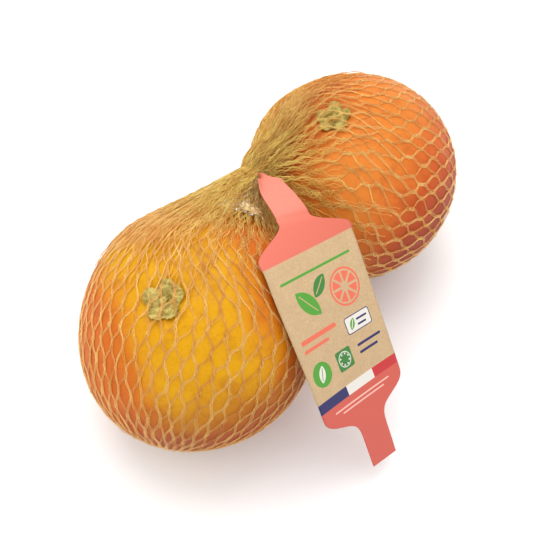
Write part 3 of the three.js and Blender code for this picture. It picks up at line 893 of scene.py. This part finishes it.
class Print(Shader):
    """Flat shapes printed on the label, placed in mm from its middle line and from the tie."""

    def __init__(self, name):
        super().__init__(name)
        u, v = self.square()
        centred = self.math("SUBTRACT", u, PRINT_ORIGIN[0])
        raised = self.math("SUBTRACT", v, PRINT_ORIGIN[1])
        self.side = self.math("MULTIPLY", centred, PRINT_SIZE)
        self.along = self.math("MULTIPLY", raised, PRINT_SIZE)

    def local(self, side, along, turn=0.0):
        """Coordinates about a point of the print, turned by an angle in degrees."""
        x = self.math("SUBTRACT", self.side, side)
        y = self.math("SUBTRACT", self.along, along)
        cosine, sine = math.cos(math.radians(turn)), math.sin(math.radians(turn))
        across = self.math("ADD", self.math("MULTIPLY", x, cosine), self.math("MULTIPLY", y, sine))
        raised, lowered = self.math("MULTIPLY", y, cosine), self.math("MULTIPLY", x, sine)
        down = self.math("SUBTRACT", raised, lowered)
        return across, down

    def length(self, x, y):
        square = self.math("ADD", self.math("MULTIPLY", x, x), self.math("MULTIPLY", y, y))
        return self.math("SQRT", square)

    def below(self, value, limit):
        return self.math("LESS_THAN", value, limit)

    def both(self, a, b):
        return self.math("MULTIPLY", a, b)

    def either(self, *shapes):
        total = shapes[0]
        for shape in shapes[1:]:
            total = self.math("MAXIMUM", total, shape)
        return total

    def without(self, a, b):
        return self.math("MULTIPLY", a, self.math("SUBTRACT", 1.0, b))

    def disc(self, side, along, radius):
        return self.below(self.length(*self.local(side, along)), radius)

    def box(self, side, along, width, height, corner=0.0):
        x, y = self.local(side, along)
        x = self.math("SUBTRACT", self.math("ABSOLUTE", x), width / 2 - corner)
        y = self.math("SUBTRACT", self.math("ABSOLUTE", y), height / 2 - corner)
        x = self.math("MAXIMUM", x, 0.0)
        y = self.math("MAXIMUM", y, 0.0)
        return self.below(self.length(x, y), max(corner, 0.001))

    def leaf(self, side, along, length, width, turn):
        """A pointed leaf with a pale midrib, as the part that two discs share."""
        radius = (length**2 / 4 + width**2 / 4) / width
        shift = radius - width / 2
        x, y = self.local(side, along, turn)
        left = self.below(self.length(self.math("ADD", x, shift), y), radius)
        right = self.below(self.length(self.math("SUBTRACT", x, shift), y), radius)
        blade = self.both(left, right)
        rib = self.both(
            self.below(self.math("ABSOLUTE", x), 0.22),
            self.below(self.math("ABSOLUTE", y), 0.36 * length),
        )
        return self.without(blade, rib)

    def slice(self, side, along, radius):
        """A cut citrus fruit: a rim and eight wedges."""
        x, y = self.local(side, along)
        away = self.length(x, y)
        angle = self.math("ARCTAN2", y, x)
        spokes = self.math("ABSOLUTE", self.math("SINE", self.math("MULTIPLY", angle, 4.0)))
        gap = self.math("DIVIDE", 2.0, self.math("MAXIMUM", away, 0.5))
        wedge = self.without(self.below(away, 0.8 * radius), self.below(spokes, gap))
        rim = self.without(self.below(away, radius), self.below(away, 0.89 * radius))
        return self.either(wedge, rim)


def label_material():
    """Kraft card with coral ends, a three-colour band, and a plain print of leaves and fruit."""
    s = Print("printed_paper")
    where = s.place()
    fibre = s.noise(where, 1100, 4, 0.7)
    cloud = s.noise(where, 160, 2)
    kraft = s.mix(s.fit(fibre, 0.3, 0.75), colour(200, 166, 122), colour(216, 185, 142))
    kraft = s.mix(s.fit(cloud, 0.4, 0.7, 0, 0.25), kraft, colour(190, 156, 116))
    # painted shade: the coral darkens past the crease at the shoulder, where the card turns away
    # from the light
    shade = s.fit(s.along, 34.0, 44.0)
    coral = s.mix(s.fit(fibre, 0.3, 0.75), colour(238, 132, 110), colour(244, 142, 120))
    coral = s.mix(shade, coral, colour(228, 114, 92))
    tail = s.math("GREATER_THAN", s.along, KRAFT_END)
    # painted shade: the tail, which hangs steeply away from the light, takes a darker coral
    coral = s.mix(tail, coral, colour(214, 92, 76))
    green, leaf_green = colour(82, 160, 48), colour(60, 130, 52)
    navy, red = colour(38, 36, 98), colour(204, 42, 46)
    white, orange = colour(236, 230, 220), colour(236, 112, 84)
    pink = colour(250, 196, 180)
    shapes = [
        (s.box(0, 63.4, 40, 1.1, 0.5), green),
        (s.leaf(-9.5, 75.0, 15.5, 7.6, -38), green),
        (s.leaf(-1.0, 70.5, 11.0, 5.6, 48), leaf_green),
        (s.slice(11.5, 76.0, 8.2), orange),
        (s.box(-10.5, 88.0, 21, 2.0, 1.0), orange),
        (s.box(-13.5, 91.8, 15, 1.4, 0.7), orange),
        (s.box(11.8, 92.0, 14.6, 7.6, 1.2), navy),
        (s.box(11.8, 92.0, 13.8, 6.8, 0.9), white),
        (s.leaf(8.4, 92.0, 5.4, 2.6, 30), green),
        (s.box(14.2, 91.0, 6.2, 0.9, 0.4), navy),
        (s.box(13.6, 93.4, 5.0, 0.9, 0.4), navy),
        (s.disc(-16.2, 103.6, 5.4), green),
        (s.leaf(-16.2, 103.6, 7.4, 3.6, 20), white),
        (s.box(-2.0, 103.6, 9.0, 9.0, 1.0), leaf_green),
        (s.slice(-2.0, 103.6, 3.5), white),
        (s.box(14.0, 101.6, 14.0, 1.2, 0.5), navy),
        (s.box(12.5, 105.0, 11.0, 1.2, 0.5), navy),
        (s.either(s.below(s.along, KRAFT_START), tail), coral),
        (s.box(0, 122.6, 34, 0.7, 0.3), pink),
        (s.box(0, 124.6, 26, 0.7, 0.3), pink),
    ]
    ground = kraft
    for shape, paint in shapes:
        ground = s.mix(shape, ground, paint)

    stripe = s.mix(s.math("GREATER_THAN", s.side, BAND_WHITE), navy, white)
    stripe = s.mix(s.math("GREATER_THAN", s.side, BAND_RED), stripe, red)
    band = s.both(s.math("GREATER_THAN", s.along, BAND_START), s.below(s.along, KRAFT_END))
    ground = s.mix(band, ground, stripe)
    return s.finish(
        Base_Color=ground,
        Roughness=0.55,
        Specular_IOR_Level=0.4,
        Normal=s.bump(fibre, 0.12, 0.00015),
    )


# --- studio -----------------------------------------------------------------------------------


CAMERA_ELEVATION = 57  # degrees
CAMERA_AIM = (-2.0, -8.1, 45.0)
CAMERA_DISTANCE = 568
CAMERA_LENS, CAMERA_SENSOR = 85, 36
LIGHT_PLACE, LIGHT_AIM, LIGHT_SIZE = (-0.1, 0.35, 1.0), (0, 0, 0.04), 1.0
LIGHT_POWER = 4 * BRIGHTNESS
WORLD_POWER = 0.95 * BRIGHTNESS
FLOOR_REACH = 4  # each way


def add_camera():
    elevation = math.radians(CAMERA_ELEVATION)
    forward = Vector((0, math.cos(elevation), -math.sin(elevation)))
    data = bpy.data.cameras.new("camera")
    data.lens = CAMERA_LENS
    data.sensor_width = CAMERA_SENSOR
    data.clip_start = 0.05
    camera = bpy.data.objects.new("camera", data)
    camera.location = (Vector(CAMERA_AIM) - CAMERA_DISTANCE * forward) * MM
    camera.rotation_mode = "QUATERNION"
    camera.rotation_quaternion = forward.to_track_quat("-Z", "Y")
    bpy.context.scene.collection.objects.link(camera)
    bpy.context.scene.camera = camera


def add_light(name, place, aim, size, power):
    data = bpy.data.lights.new(name, "AREA")
    data.shape = "DISK"
    data.size = size
    data.energy = power
    light = bpy.data.objects.new(name, data)
    light.location = place
    light.rotation_mode = "QUATERNION"
    light.rotation_quaternion = (Vector(aim) - Vector(place)).to_track_quat("-Z", "Y")
    bpy.context.scene.collection.objects.link(light)


def add_studio():
    s = Shader("pale_floor")
    floor_material = s.finish(Base_Color=(0.96, 0.96, 0.96, 1.0), Roughness=0.7)
    mesh = bpy.data.meshes.new("floor")
    near, far = -FLOOR_REACH, FLOOR_REACH
    corners = [(near, near, 0), (far, near, 0), (far, far, 0), (near, far, 0)]
    mesh.from_pydata(corners, [], [(0, 1, 2, 3)])
    mesh.materials.append(floor_material)
    floor = bpy.data.objects.new("floor", mesh)
    bpy.context.scene.collection.objects.link(floor)
    world = bpy.data.worlds.new("world")
    world.use_nodes = True
    world.node_tree.nodes["Background"].inputs[0].default_value = (1, 1, 1, 1)
    world.node_tree.nodes["Background"].inputs[1].default_value = WORLD_POWER
    bpy.context.scene.world = world
    add_light("overhead", LIGHT_PLACE, LIGHT_AIM, LIGHT_SIZE, LIGHT_POWER)
    bpy.context.scene.view_settings.view_transform = "Standard"


# --- the object -------------------------------------------------------------------------------

add_camera()

front_fruit = Fruit(FRONT_FRUIT)
back_fruit = Fruit(BACK_FRUIT)
front_rind = rind_material(
    "rind_front",
    front_fruit,
    colours=(colour(230, 166, 0), colour(218, 110, 22), colour(158, 57, 13)),
    side=(0.93, 0.30, 0.20),
    reach=(0.3, 0.72),
    # painted shade: the deep colour takes over low down on this side
    under=(0.26, -0.74, -0.62),
    seed=3,
)
back_rind = rind_material(
    "rind_back",
    back_fruit,
    colours=(colour(232, 134, 46), colour(212, 90, 30), colour(148, 48, 18)),
    side=(0.92, -0.3, -0.1),
    reach=(0.15, 0.8),
    # painted shade: the deep colour takes over low down on this side
    under=(0.72, -0.42, -0.55),
    seed=8,
)
dress(add_fruit(front_fruit, "fruit_front", front_rind, seed=3), "rind_yellow", "pomelo_front")
dress(add_fruit(back_fruit, "fruit_back", back_rind, seed=8), "rind_orange", "pomelo_back")

dried = calyx_material()
front_star = add_calyx(front_fruit, "star_front", dried, seed=4, size=8.6)
back_star = add_calyx(back_fruit, "star_back", dried, seed=9, size=7.8)
dress(front_star, "calyx", "calyx_front")
dress(back_star, "calyx", "calyx_back")

front_pouch = Pouch(
    front_fruit,
    TIE_AXIS,
    leg=9.0,
    leave=126,
    droop=16,
    slack=0.6,
    open_side=(0.93, 0.14, -0.87),
    mat=0,
)
back_pouch = Pouch(
    back_fruit,
    -TIE_AXIS,
    leg=7.8,
    leave=130,
    droop=0,
    slack=3.4,
    open_side=(0.3, -0.95, -0.3),
    mat=24,
)
gold = net_material("net_gold")
add_net(front_pouch, "mesh_front", "net_front", gold, seed=21)
add_net(back_pouch, "mesh_back", "net_back", gold, seed=22)
add_weld(front_pouch, weld_material())

add_label(label_material())

add_studio()
